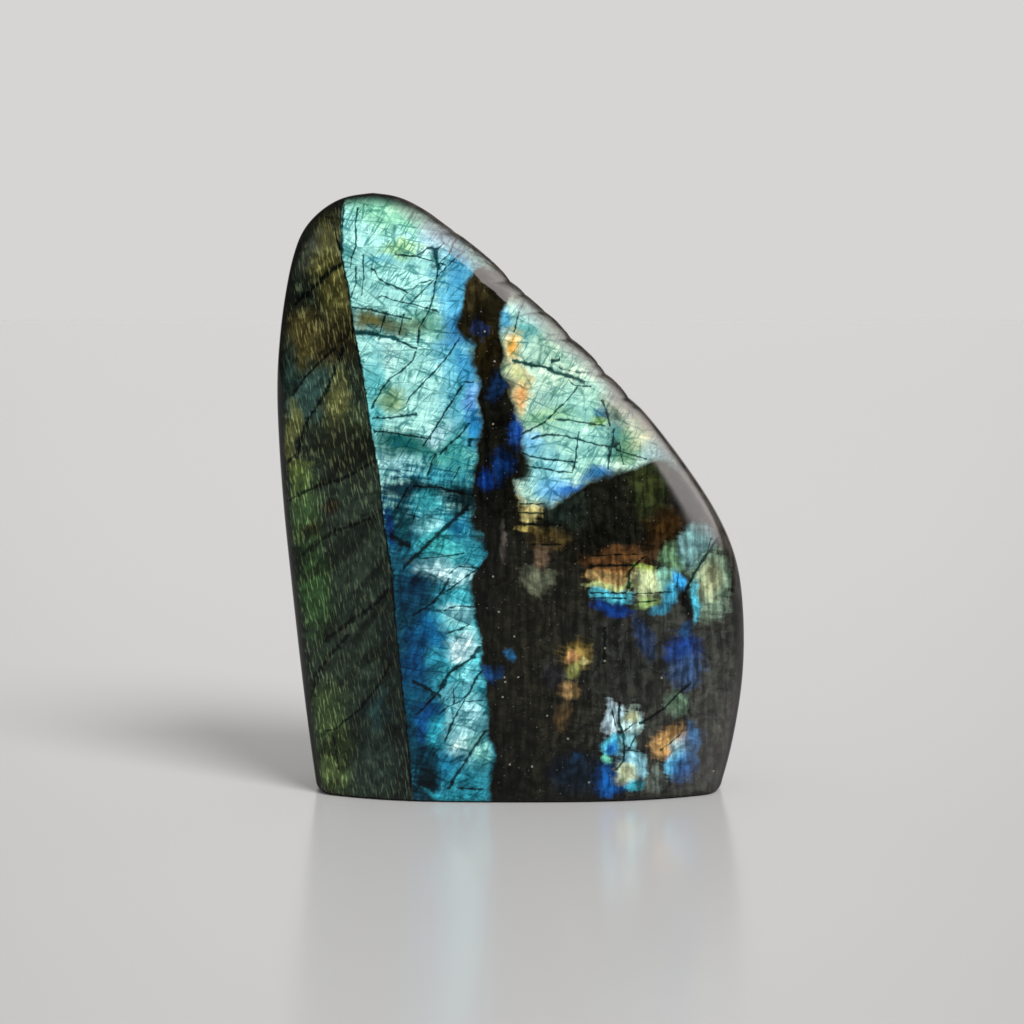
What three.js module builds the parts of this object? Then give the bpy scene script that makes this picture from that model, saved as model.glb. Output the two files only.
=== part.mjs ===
// A labradorite freeform: one piece of polished feldspar that stands on a flat ground base.
// It is a thick lens seen from above, and leans to a rounded top at the left, with one long
// sloping shoulder on the right whose back edge keeps a row of small chipped scallops.
// Millimetres, +Z up, +Y away from the viewer, origin on the base under the middle of the stone.

import * as THREE from "three";

// Driving sizes
const HEIGHT = 130;
const FRONT_AT_BASE = 9.2; // how far the domed front swells beyond its rolled edge, at the base
const FRONT_AT_TOP = 7; // the same at the top, where the stone is thinner
const BACK_AT_BASE = 8.5;
const BACK_AT_TOP = 6;
const FRONT_REACH = 38; // distance from the rim over which the front rises to its full swell
const BACK_REACH = 34;
const SWELL_POWER = 2.5;
const CREASE_POWER = 3; // how closely the swell follows the nearer side of the outline
const EDGE_AT_BASE = 8.4; // depth of the rolled edge, in front of the rim and behind it
const EDGE_AT_TOP = 5.6;
const EDGE_RADIUS = 3; // width of the rolled edge seen from the front
const TOP_EDGE_RADIUS = 5;
const TOP_EDGE_FROM = 80; // heights between which the edge grows to its radius at the top
const TOP_EDGE_TO = 122;
const LEAN = 2.4; // how far the rim stands further back at the top than at the base
const FOOT_RADIUS = 1.6; // the small round around the ground base
const TIP_DEPTH = 0.35; // depth of the highest slice below the top

// The chips in the back edge of the sloping shoulder
const CHIPS_FROM = 83;
const CHIPS_TO = 124;
const CHIP_WIDTH = 9; // distance from the rim over which a chip runs out
const CHIP_IN_FRONT = 0.45; // share of a chip's depth that shows in front of the rim

// How finely the skin is divided
const STEPS_ACROSS = 32;
const TALL_STEP = 4.4;
const CHIPPED_STEP = 1.3;
const FOOT_ROWS = 4;
const TOP_ROWS = 8;
const OUTLINE_STEPS = 600;

// The stone's outline from the front, as x and z, from below the left foot over the top
// and down to below the right foot. The base plane cuts off its two ends.
const OUTLINE = [
  [-41.4, -12],
  [-43.2, 0],
  [-44.9, 13],
  [-46.6, 28],
  [-48.5, 47],
  [-49.8, 61],
  [-50.8, 77],
  [-51.0, 89],
  [-50.4, 98.5],
  [-49.1, 108],
  [-47.2, 116.6],
  [-45.1, 121.8],
  [-41.4, 126.0],
  [-36.4, 128.9],
  [-30.1, 129.8],
  [-24.4, 129.1],
  [-18.2, 126.1],
  [-11.6, 121.5],
  [-3.4, 114.8],
  [3.8, 108.2],
  [13.8, 98.9],
  [21.4, 91.2],
  [29.4, 82.4],
  [35.6, 74.4],
  [40.3, 67.9],
  [44.5, 61.3],
  [47.7, 54.7],
  [49.7, 48.1],
  [50.8, 38],
  [50.9, 28],
  [50.2, 20],
  [48.1, 8],
  [45.9, 0],
  [42.0, -12],
];

// Each chip's height, its depth into the edge and its reach up and down.
const CHIPS = [
  { z: 123.4, depth: 0.9, reach: 2.0 },
  { z: 111.3, depth: 1.1, reach: 1.8 },
  { z: 108.3, depth: 0.8, reach: 1.4 },
  { z: 106.2, depth: 0.6, reach: 1.4 },
  { z: 99.0, depth: 1.2, reach: 2.2 },
  { z: 91.7, depth: 1.1, reach: 2.0 },
  { z: 86.2, depth: 1.0, reach: 2.2 },
];

const mix = (a, b, t) => a + (b - a) * t;

function smooth(low, high, value) {
  const t = Math.min(1, Math.max(0, (value - low) / (high - low)));
  return t * t * (3 - 2 * t);
}

const outline = new THREE.CatmullRomCurve3(
  OUTLINE.map(([x, z]) => new THREE.Vector3(x, 0, z)),
  false,
  "centripetal",
).getPoints(OUTLINE_STEPS);
const topPoint = outline.reduce((best, point, i) => (point.z > outline[best].z ? i : best), 0);
const leftSide = outline.slice(0, topPoint + 1);
const rightSide = outline.slice(topPoint);

// The lowest and highest x of the outline at one height.
function spanAt(z) {
  const crossings = [];
  for (let i = 1; i < outline.length; i += 1) {
    const a = outline[i - 1];
    const b = outline[i];
    if ((a.z - z) * (b.z - z) <= 0 && a.z !== b.z) {
      crossings.push(mix(a.x, b.x, (z - a.z) / (b.z - a.z)));
    }
  }
  return [Math.min(...crossings), Math.max(...crossings)];
}

// The distance in the front view from a point to one side of the outline.
function distanceTo(side, x, z) {
  const point = new THREE.Vector3(x, 0, z);
  const nearest = new THREE.Vector3();
  const step = new THREE.Line3();
  let least = Infinity;
  for (let i = 1; i < side.length; i += 1) {
    step.set(side[i - 1], side[i]).closestPointToPoint(point, true, nearest);
    least = Math.min(least, nearest.distanceTo(point));
  }
  return least;
}

// A quarter circle: 0 at the rim and 1 from one radius inwards.
function rolledEdge(distance, radius) {
  const inside = Math.min(1, distance / radius);
  return Math.sqrt(1 - (1 - inside) ** 2);
}

function swell(distance, reach) {
  return 1 - (1 - Math.min(1, distance / reach)) ** SWELL_POWER;
}

// A distance close to the smaller of the two, with no crease where they are equal.
function softLeast(a, b) {
  return a * b > 0 ? (a ** -CREASE_POWER + b ** -CREASE_POWER) ** (-1 / CREASE_POWER) : 0;
}

// How far the front and the back stand away from the rim's plane, inside the outline.
function thicknessAt(x, z) {
  const fromLeft = distanceTo(leftSide, x, z);
  const fromRight = distanceTo(rightSide, x, z);
  const nearest = Math.min(fromLeft, fromRight);
  const inside = softLeast(fromLeft, fromRight);
  const radius = mix(EDGE_RADIUS, TOP_EDGE_RADIUS, smooth(TOP_EDGE_FROM, TOP_EDGE_TO, z));
  const frontSwell = mix(FRONT_AT_BASE, FRONT_AT_TOP, z / HEIGHT) * swell(inside, FRONT_REACH);
  const backSwell = mix(BACK_AT_BASE, BACK_AT_TOP, z / HEIGHT) * swell(inside, BACK_REACH);
  const edge = mix(EDGE_AT_BASE, EDGE_AT_TOP, z / HEIGHT);
  return {
    front: edge * rolledEdge(nearest, radius) + frontSwell,
    back: edge * rolledEdge(nearest, TOP_EDGE_RADIUS) + backSwell,
  };
}

// How far the chipped edge of the sloping shoulder is set in at a height.
function chipDepth(z) {
  return CHIPS.reduce((sum, chip) => sum + chip.depth * Math.exp(-Math.abs(z - chip.z) / chip.reach), 0);
}

// Heights of the slices: close together in the foot's round, along the chips and at the top.
function sliceHeights() {
  const heights = [];
  for (let i = 0; i <= FOOT_ROWS; i += 1) {
    heights.push(FOOT_RADIUS * (1 - Math.cos((i / FOOT_ROWS) * (Math.PI / 2))));
  }
  const tall = Math.round((CHIPS_FROM - FOOT_RADIUS) / TALL_STEP);
  for (let i = 1; i < tall; i += 1) heights.push(mix(FOOT_RADIUS, CHIPS_FROM, i / tall));
  const chipped = Math.round((CHIPS_TO - CHIPS_FROM) / CHIPPED_STEP);
  for (let i = 0; i < chipped; i += 1) heights.push(mix(CHIPS_FROM, CHIPS_TO, i / chipped));
  for (let i = 0; i <= TOP_ROWS; i += 1) {
    heights.push(mix(HEIGHT - TIP_DEPTH, CHIPS_TO, (1 - i / TOP_ROWS) ** 2));
  }
  return heights;
}

// One horizontal slice as a ring of points: the front from left to right, then the back again.
// A slice within the foot's round is the slice above it, drawn in towards its middle.
function sliceRing(z) {
  const drawn = Math.max(z, FOOT_RADIUS);
  const [left, right] = spanAt(drawn);
  const middle = (left + right) / 2;
  const half = (right - left) / 2;
  const inset = FOOT_RADIUS - Math.sqrt(FOOT_RADIUS ** 2 - (drawn - z) ** 2);
  const narrowed = 1 - inset / half;
  const thinned = 1 - inset / (EDGE_AT_BASE + BACK_AT_BASE);
  const rimY = (LEAN * z) / HEIGHT;
  const chip = chipDepth(z);
  const front = [];
  const back = [];
  for (let i = 0; i <= STEPS_ACROSS; i += 1) {
    const x = middle - half * Math.cos((i / STEPS_ACROSS) * Math.PI);
    const thickness = thicknessAt(x, drawn);
    const chipped = x - chip * Math.exp((x - right) / CHIP_WIDTH);
    const shownX = i === STEPS_ACROSS ? chipped : mix(x, chipped, CHIP_IN_FRONT);
    front.push(new THREE.Vector3(mix(middle, shownX, narrowed), rimY - thickness.front * thinned, z));
    back.push(new THREE.Vector3(mix(middle, chipped, narrowed), rimY + thickness.back * thinned, z));
  }
  return [...front, ...back.slice(1, -1).reverse()];
}

function stoneGeometry() {
  const rings = sliceHeights().map(sliceRing);
  const size = rings[0].length;
  const vertices = rings.flat();
  const faces = [];
  for (let row = 1; row < rings.length; row += 1) {
    const low = (row - 1) * size;
    const high = row * size;
    for (let i = 0; i < size; i += 1) {
      const next = (i + 1) % size;
      faces.push(low + i, low + next, high + next, low + i, high + next, high + i);
    }
  }
  // The flat base is a strip between the front and the back of the lowest ring.
  for (let i = 0; i < STEPS_ACROSS; i += 1) {
    const back = (size - i) % size;
    const nextBack = size - i - 1;
    if (i > 0) faces.push(i, back, i + 1);
    if (i + 1 < STEPS_ACROSS) faces.push(back, nextBack, i + 1);
  }
  const lastRing = rings[rings.length - 1];
  const tip = lastRing.reduce((sum, point) => sum.add(point), new THREE.Vector3()).divideScalar(size);
  tip.z = HEIGHT;
  vertices.push(tip);
  const top = (rings.length - 1) * size;
  for (let i = 0; i < size; i += 1) faces.push(top + i, top + ((i + 1) % size), vertices.length - 1);

  const geometry = new THREE.BufferGeometry().setFromPoints(vertices);
  geometry.setIndex(faces);
  geometry.computeBoundingBox();
  const centre = geometry.boundingBox.getCenter(new THREE.Vector3());
  geometry.translate(-centre.x, -centre.y, 0);
  geometry.computeVertexNormals();
  return geometry;
}

const polishedStone = new THREE.MeshStandardMaterial({
  color: 0x24555c,
  roughness: 0.08,
  metalness: 0,
});

const stone = new THREE.Mesh(stoneGeometry(), polishedStone);
stone.name = "labradorite_stone";

const freeform = new THREE.Group();
freeform.add(stone);

export default freeform;
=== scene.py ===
import math

import bmesh
import bpy
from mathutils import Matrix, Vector
from mathutils.noise import turbulence


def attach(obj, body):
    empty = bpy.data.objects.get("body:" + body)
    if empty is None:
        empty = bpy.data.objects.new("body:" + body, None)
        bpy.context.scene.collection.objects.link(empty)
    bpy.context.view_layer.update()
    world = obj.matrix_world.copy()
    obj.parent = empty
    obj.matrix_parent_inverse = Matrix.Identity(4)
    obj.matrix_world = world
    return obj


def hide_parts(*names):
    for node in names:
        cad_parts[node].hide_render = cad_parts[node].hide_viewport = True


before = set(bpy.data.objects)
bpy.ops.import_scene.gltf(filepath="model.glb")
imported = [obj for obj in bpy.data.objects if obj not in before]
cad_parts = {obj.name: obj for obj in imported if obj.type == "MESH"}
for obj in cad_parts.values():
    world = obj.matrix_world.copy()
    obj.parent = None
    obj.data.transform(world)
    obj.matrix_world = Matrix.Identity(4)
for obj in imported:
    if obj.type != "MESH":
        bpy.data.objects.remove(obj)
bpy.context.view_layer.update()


# The stone: one piece of labradorite, a dark feldspar that flashes where its layers face the
# light. It is sawn, ground to a leaning lens and polished all over, and stands on its flat base.
# Its markings are drawn in millimetres across (x) and up (z), as the front is seen.

MM = 0.001
MERGE_DISTANCE = 0.01 * MM
FLAT_ANGLE = math.radians(40)  # how far two triangles may turn and still be one four-sided face
ANY_SHAPE = math.radians(180)


def add_object(name, data):
    made = bpy.data.objects.new(name, data)
    bpy.context.scene.collection.objects.link(made)
    return made


# The skin is the CAD solid's own, rounded off between its slices.
bm = bmesh.new()
bm.from_mesh(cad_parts["labradorite_stone"].data)
bmesh.ops.remove_doubles(bm, verts=bm.verts, dist=MERGE_DISTANCE)
bmesh.ops.join_triangles(
    bm, faces=bm.faces, angle_face_threshold=FLAT_ANGLE, angle_shape_threshold=ANY_SHAPE,
)
for face in bm.faces:
    face.smooth = True
stone_mesh = bpy.data.meshes.new("labradorite_stone_polished")
bm.to_mesh(stone_mesh)
bm.free()
stone = add_object("labradorite_stone_polished", stone_mesh)

rounding = stone.modifiers.new("rounding", "SUBSURF")
rounding.levels = 2
stone.data = bpy.data.meshes.new_from_object(stone.evaluated_get(bpy.context.evaluated_depsgraph_get()))
stone.modifiers.clear()

# The chips in the sloping edge: each notch's height, depth and reach in millimetres. The edge
# between them is finely broken too.
CHIP_NOTCHES = [
    (121.6, 0.2, 0.5), (111.3, 0.35, 0.8), (108.3, 0.15, 0.5), (104.6, 0.22, 0.6), (99.0, 0.32, 0.9),
    (93.2, 0.16, 0.4), (91.4, 0.34, 0.8), (86.2, 0.26, 0.7),
]
EDGE_WAY = Vector((0.75, 0, 0.66))  # straight out of the sloping edge
EDGE_FROM, EDGE_FULL = 0.35, 0.75  # how far a place looks that way where the chips start and are full
LEFT_OF_CHIPS = -30
BROKEN_FROM, BROKEN_TO = 84, 125
BROKEN_DEPTH = 0.12

facing_edge = [vertex.normal.dot(EDGE_WAY) for vertex in stone.data.vertices]
for vertex, towards in zip(stone.data.vertices, facing_edge):
    on_edge = min(1, max(0, (towards - EDGE_FROM) / (EDGE_FULL - EDGE_FROM)))
    if vertex.co.x < LEFT_OF_CHIPS * MM or on_edge == 0:
        continue
    height = vertex.co.z / MM
    cut = sum(depth * math.exp(-abs(height - z) / reach) for z, depth, reach in CHIP_NOTCHES)
    if BROKEN_FROM < height < BROKEN_TO:
        cut += BROKEN_DEPTH * turbulence(vertex.co / MM, 2, True, frequency_scale=2.0)
    vertex.co -= EDGE_WAY * (cut * on_edge * MM)

# The flashing column between the twin seam and the dark band, from the top down. Each glow has
# a name, its middle, its half sizes, its turn in degrees, its softness and its colour.
COLUMN_COLOUR = "bcfcf2"
COLUMN_GLOWS = [
    ("blue side", -11.5, 92, 3.4, 20, 3, 0.9, "58bcd8"),
    ("dim top", -24, 129.2, 12, 2.2, 0, 0.7, "88b69c"),
    ("green crown", -25, 125.3, 8, 3, -8, 0.7, "aaf0c8"),
    ("lilac shoulder", -15, 121, 3.5, 4, -40, 0.8, "c8e4f4"),
    ("yellow tint", -24, 118.4, 3.5, 1.3, 0, 0.9, "ccf8b4"),
    ("pale blue band", -28.5, 116, 3.2, 0.8, 0, 0.7, "90e0e8"),
    ("sky edge", -11, 112, 2.6, 4, 20, 0.9, "4aa8d8"),
    ("cyan edge", -12.5, 106.5, 3, 3, 0, 0.8, "64c8f0"),
    ("deep edge", -11.8, 101, 2.6, 2.8, 0, 0.9, "3684bc"),
    ("streaked teal", -19.5, 101.6, 5, 2.3, -10, 0.6, "78b8a0"),
    ("brown vein", -28, 102.7, 6.5, 1.8, -12, 0.7, "5e603a"),
    ("olive in the vein", -30, 103.7, 2.2, 0.9, -12, 0.8, "76703c"),
    ("white blocks", -27.5, 95, 3, 3.2, 0, 0.6, "ccfcf4"),
    ("left wedge", -29.3, 87, 1.8, 8, 5, 0.8, "70dce0"),
    ("green gold", -25.5, 86.3, 2.8, 2, 0, 0.8, "aac88c"),
    ("blue edge", -9.3, 93.5, 2, 2.4, 0, 0.9, "40a0d4"),
    ("violet edge", -8.6, 86.3, 1.7, 3.6, 0, 0.7, "6ea8ea"),
    ("azure edge", -8.2, 79.5, 1.8, 3.2, 0, 0.7, "1e8cd2"),
    ("teal zone", -15, 74.5, 6.5, 4, 0, 0.8, "48b0a4"),
    ("dark teal block", -23.5, 76.7, 6, 3.2, -3, 0.5, "1a6a66"),
    ("white blue", -15.5, 78.3, 2, 2.4, 0, 0.7, "c0f0f4"),
    ("pale strip", -24, 71.8, 4.8, 1.7, -4, 0.5, "b4f0f4"),
    ("cyan streaks", -14.5, 69.2, 5.6, 1.9, -8, 0.6, "5ac8d7"),
    ("lower column", -16, 21, 36, 45.5, 0, 0.12, "2c92ae"),
    ("deep left side", -22.5, 28, 5, 30, 4, 0.8, "052e40"),
    ("bright right side", -10, 28, 4.5, 30, 2, 0.8, "58d2de"),
    ("navy wedge", -22, 67.3, 6, 2.2, -4, 0.4, "123c4b"),
    ("cyan block", -17.3, 64, 2.4, 3, 0, 0.5, "46b4be"),
    ("dark corner", -10.5, 65.6, 4.8, 3.3, -14, 0.6, "081210"),
    ("deep blue strip", -26, 59, 0.9, 3.6, 5, 0.6, "0a468c"),
    ("dark teal", -22.8, 60.5, 2, 5, 0, 0.5, "0f5a64"),
    ("white cyan", -18, 59.5, 2.2, 1.8, 0, 0.6, "a0ecf0"),
    ("sea blue", -11.5, 59, 2.8, 2.2, 30, 0.7, "0c6c94"),
    ("turquoise", -15.5, 54.8, 3.4, 2.6, 0, 0.8, "50c8c8"),
    ("bright strip", -14, 49.8, 5.8, 2.4, -14, 0.6, "c8f6fa"),
    ("navy pool", -20.2, 45.3, 4.6, 4.4, 0, 0.7, "06324e"),
    ("paler step", -11.5, 40.6, 2.8, 1.4, 0, 0.6, "b4ebf0"),
    ("azure", -17.5, 37, 2.8, 2.3, 0, 0.8, "1070a8"),
    ("turquoise step", -11, 37, 3, 2.2, 0, 0.8, "82d7dc"),
    ("white spot", -11.2, 34, 2.7, 3.2, 0, 0.7, "e0fcff"),
    ("ink", -20, 30.5, 3, 5, 0, 0.8, "0a4a7c"),
    ("speck right", -16.3, 30.6, 1.1, 1.5, 20, 0.9, "3cb0cc"),
    ("soft turquoise", -9.5, 27.2, 2.6, 2.4, 0, 0.8, "78d2dc"),
    ("dark left", -21, 20, 1.4, 5.6, 0, 0.6, "0f5a78"),
    ("blue heart", -18, 17, 2.1, 3.4, 0, 0.8, "1464aa"),
    ("white flame", -14, 22, 1.3, 2.2, -20, 0.7, "96e6f0"),
    ("cyan flame", -15.8, 15, 1.5, 3.2, 0, 0.7, "3cc8dc"),
    ("pale foot", -10, 15.5, 3.4, 6.4, 0, 0.7, "c4fcff"),
    ("brightest foot", -10, 12.3, 2.3, 2, 0, 0.7, "dcfffc"),
    ("green foot", -7.2, 10.6, 2, 3.8, 0, 0.7, "96e1d7"),
    ("blue foot", -12.6, 7.5, 2.4, 2.6, 0, 0.8, "1482aa"),
    ("cyan foot", -9, 5, 3.2, 2.1, 0, 0.8, "3cb4c8"),
    ("dark teal foot", -18, 8, 2.4, 4.2, 0, 0.6, "0a465a"),
    ("black foot", -19.4, 4.2, 2.4, 3.6, 0, 0.6, "061418"),
    ("stripe along the foot", -12, 2.1, 6, 0.7, 0, 0.5, "32b4c8"),
]

# The field right of the dark band, up to the sloping edge.
FIELD_COLOUR = "c8eed8"
FIELD_GLOWS = [
    ("cyan cap", 5, 104, 5.5, 5.2, -40, 0.7, "b0e0d8"),
    ("grey green cap", 1.3, 108.9, 2, 2, 0, 0.7, "b4bea0"),
    ("cyan edge", -1.6, 103, 1.7, 3.6, 15, 0.7, "5ab8e0"),
    ("teal strip", 4, 99.6, 3.6, 1.5, -5, 0.6, "50b0b0"),
    ("olive", 10.5, 98, 3, 3.2, 0, 0.8, "96b48c"),
    ("cream", 11.5, 94.6, 6, 5, -40, 0.9, "cdeed2"),
    ("gold", -0.1, 97, 1.9, 2.8, 0, 0.6, "ebcd82"),
    ("orange in the gold", 0, 97.3, 0.8, 1.3, 0, 0.9, "e0a040"),
    ("long gold", 1.7, 88.4, 2, 4.6, -6, 0.6, "f5d898"),
    ("orange in the long gold", 1.9, 86.8, 0.9, 2, 0, 0.9, "eba55f"),
    ("pale yellow", 0.9, 91.9, 1.2, 1.4, 0, 0.8, "f5f0aa"),
    ("mint", 15, 84.5, 5, 3.8, 0, 0.8, "b8f0dc"),
    ("green band", 8, 81.9, 5.5, 1.8, -3, 0.8, "9cd0a0"),
    ("low mint", 14, 76, 6.5, 5, 0, 0.8, "b4f0e1"),
    ("sky spot", 4.2, 76.6, 2.4, 2, 0, 0.7, "78c8fa"),
    ("low cyan", 6.5, 70.8, 3.2, 5, 0, 0.8, "96e0e8"),
    ("azure foot", 9.5, 67.3, 2.8, 1.9, 15, 0.7, "6ebef0"),
    ("blue foot", 12, 66.9, 2.8, 1.2, 12, 0.6, "3c82d2"),
    ("blue border", 18, 70.1, 3.6, 1.6, 10, 0.7, "2878b4"),
    ("blue spot", 19.2, 83.6, 1.4, 1.3, 0, 0.7, "2882aa"),
    ("teal seam", 22, 80.5, 1.3, 5.6, 0, 0.7, "3c8c8c"),
    ("yellow green spot", 18.4, 82, 1.7, 1.1, 0, 0.5, "96be78"),
    ("grey beige", 25.8, 84.3, 5, 4.4, -45, 0.8, "afa58c"),
    ("right green", 24.7, 76, 2.4, 2.6, 0, 0.8, "64966e"),
    ("right cream", 28, 78.6, 3.4, 2, -30, 0.8, "d2d7aa"),
    ("pink", 28.3, 82, 1.4, 1.6, 0, 0.9, "c8a587"),
    ("blue grey corner", 31, 74.5, 3.2, 2.8, -40, 0.8, "98b8b8"),
    ("dark notch", 2, 71.6, 1.8, 2.7, 0, 0.6, "283c32"),
]

# The dark ground: the band, the lower right and the small lights in both.
GROUND_COLOUR = "12120d"
GROUND_GLOWS = [
    ("olive middle", 8, 32, 9, 24, 0, 0.9, "23221a"),
    ("brown knot", -6.5, 104.5, 6, 7, 0, 0.8, "1e1a0c"),
    ("olive top", -8.5, 109.5, 2.6, 3.2, 0, 0.8, "3c341e"),
    ("brown in the band", -6.5, 96.5, 2.8, 4.4, 0, 0.8, "231c0a"),
    ("violet sparkle", -7, 101, 1.0, 1.4, 0, 0.9, "1c2a4c"),
    ("blue sheen", -2.8, 89, 1.4, 2.8, 0, 0.9, "102c50"),
    ("blue at the edge", 1.1, 79.5, 1.1, 2.6, 0, 0.8, "1e50a0"),
    ("deep blue", -1.8, 72.5, 1.3, 2.5, 0, 0.8, "092e62"),
    ("royal", -5, 69.6, 1.4, 1.6, 0, 0.8, "0c3a88"),
    ("grey right", 37, 24, 14, 22, 0, 0.9, "3e3f39"),
    ("grey middle", 24, 33, 8, 9, 0, 0.9, "2a2b26"),
    ("dark oval", 22.5, 61.5, 14, 8.6, 6, 0.4, "181812"),
    ("green in the oval", 29.5, 67, 3, 3.8, 0, 0.9, "343c1e"),
    ("brown in the oval", 33, 58, 3.2, 3, 0, 0.9, "3c280f"),
    ("grey green in the oval", 12.5, 62.5, 3.5, 2.6, 0, 0.9, "232d26"),
    ("gold strip", 4.2, 64.2, 2.3, 2.4, 0, 0.5, "d7c882"),
    ("yellow strip", 3.7, 59.6, 2.2, 0.7, 0, 0.6, "b0a05a"),
    ("olive under it", 7.5, 57.6, 2.6, 2, 0, 0.8, "504223"),
    ("brown streak", 6.5, 52.7, 1, 2.9, 0, 0.7, "6e5a46"),
    ("pale flecks", 5.8, 48, 2.4, 1.9, 0, 0.8, "6c705a"),
    ("sliver high", -1.8, 56, 0.7, 4, 8, 0.6, "4b4641"),
    ("copper", 22, 52.4, 5.6, 1.9, 2, 0.9, "6a4828"),
    ("copper right", 21.5, 49.7, 3.8, 0.8, 0, 0.5, "a06e3c"),
    ("tan", 21.5, 48.4, 4.8, 1.5, 0, 0.5, "b89660"),
    ("yellow green streak", 28.2, 50.4, 2.2, 0.8, 0, 0.6, "aabe5a"),
    ("pale gold", 28.7, 47.3, 2.4, 2.5, 0, 0.6, "ccd8a4"),
    ("mint by the gold", 32.2, 47.5, 1.5, 2.2, 0, 0.6, "96d8c0"),
    ("green gold stripe", 21, 46.6, 4.4, 0.8, 0, 0.5, "bec882"),
    ("cyan stripes", 21, 44.8, 3.5, 1.3, 0, 0.5, "5ac8dc"),
    ("royal stripe", 21.5, 42.3, 3.6, 1.2, -4, 0.6, "0c3c88"),
    ("gold stripes", 29, 43.7, 2.2, 0.9, 0, 0.6, "96b46e"),
    ("cyan right", 33.2, 45, 1.4, 1.9, 0, 0.7, "50bee6"),
    ("teal under it", 32.2, 42, 1.4, 1.1, 0, 0.8, "3c8caa"),
    ("sky blue", 36, 47.6, 1.7, 2.1, 0, 0.5, "3caaeb"),
    ("green over it", 35, 52.2, 2.2, 2.2, 0, 0.7, "6e966e"),
    ("green grey face", 42.2, 46.5, 4.2, 6.4, 0, 0.4, "829c84"),
    ("beige face", 42.6, 47.5, 1.8, 2.6, 0, 0.9, "a5aa82"),
    ("cyan rim of the face", 39.2, 43.3, 1, 4, 0, 0.6, "50bed7"),
    ("cyan over the face", 39.5, 55.5, 2.2, 3.2, -20, 0.8, "7aa8a8"),
    ("black gap", 37.2, 43, 1.4, 3, 0, 0.6, "0c0c0a"),
    ("violet streak", 28.4, 36, 1.5, 3.4, 15, 0.9, "283c60"),
    ("royal spot", 36.6, 32.8, 2.9, 2.7, 0, 0.8, "103a80"),
    ("blue grey spot", 36.5, 28, 2.7, 2.6, 0, 0.9, "3a5884"),
    ("teal over the royal", 37, 36.8, 1.2, 1.5, 0, 0.8, "1e466e"),
    ("green fleck", 36, 21, 2.4, 1.7, 25, 0.7, "66826a"),
    ("gold spot", 13.6, 32.4, 2.6, 2.2, 0, 0.8, "988040"),
    ("peach in the gold", 12, 31.8, 1.3, 1.2, 0, 0.7, "d7a069"),
    ("pale in the gold", 14.8, 30.9, 1, 0.8, 0, 0.7, "e1d78c"),
    ("olive under the gold", 12.8, 28.8, 1.3, 1.3, 0, 0.7, "8c8c50"),
    ("second gold", 12, 24.4, 1.5, 1.3, 0, 0.8, "a08054"),
    ("brown under it", 11, 19, 1.4, 2.4, 0, 0.8, "504028"),
    ("slate", 8.4, 27.8, 1.8, 1.9, 0, 0.8, "343438"),
    ("blue speck", -0.9, 32.3, 0.7, 1.1, 0, 0.9, "20608c"),
    ("blue pool", -4, 27.5, 1.1, 1.5, 0, 0.9, "164a80"),
    ("blue speck low", 13.8, 8.8, 1.3, 1.1, 0, 0.8, "14466e"),
    ("faint blue", 13.5, 6.5, 4, 3, 0, 0.9, "101e2c"),
    ("white lilac", 21.2, 18.2, 1.9, 3.2, 8, 0.4, "c8e4ee"),
    ("pale mint", 25.2, 17.2, 2.2, 2.9, 0, 0.4, "bee0dc"),
    ("yellow on it", 25, 19.3, 1.2, 0.9, 0, 0.8, "c8cc96"),
    ("cyan neck", 22.2, 12.2, 1.6, 2.3, 0, 0.5, "5ac8e1"),
    ("blue in the neck", 22.8, 11.4, 0.8, 1.4, 0, 0.7, "146ec8"),
    ("pale neck", 25.6, 13, 1.5, 1.6, 0, 0.6, "96dce6"),
    ("royal foot", 21.5, 4.6, 2.7, 2.4, 0, 0.7, "0c58a4"),
    ("sky foot", 26, 8, 1.7, 2.8, 0, 0.6, "96d7e8"),
    ("green foot", 21.2, 8.8, 0.9, 1, 0, 0.7, "6ec8aa"),
    ("cream foot", 24.2, 5.6, 1.9, 1.6, 0, 0.6, "d0d8ac"),
    ("cyan toe", 26.2, 3, 1.9, 1.1, 0, 0.6, "3caabe"),
    ("grey green flecks", 30, 5.8, 1.6, 2.6, 0, 0.7, "6e786e"),
    ("amber", 34, 12.8, 2.9, 2.5, 30, 0.8, "dcaa68"),
    ("pale amber", 36.3, 12.8, 1.5, 1.2, 20, 0.7, "f0dcbe"),
    ("white on blue", 36.2, 11, 1.5, 1.6, 0, 0.7, "b4e1eb"),
    ("sky under it", 35, 8.4, 2.2, 1.7, 30, 0.7, "64bee6"),
    ("blue under it again", 36.6, 6.8, 2.4, 2.0, 35, 0.9, "285890"),
    ("steel right of it", 38.8, 12.2, 1.3, 3.2, 0, 0.8, "345e88"),
]

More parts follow.
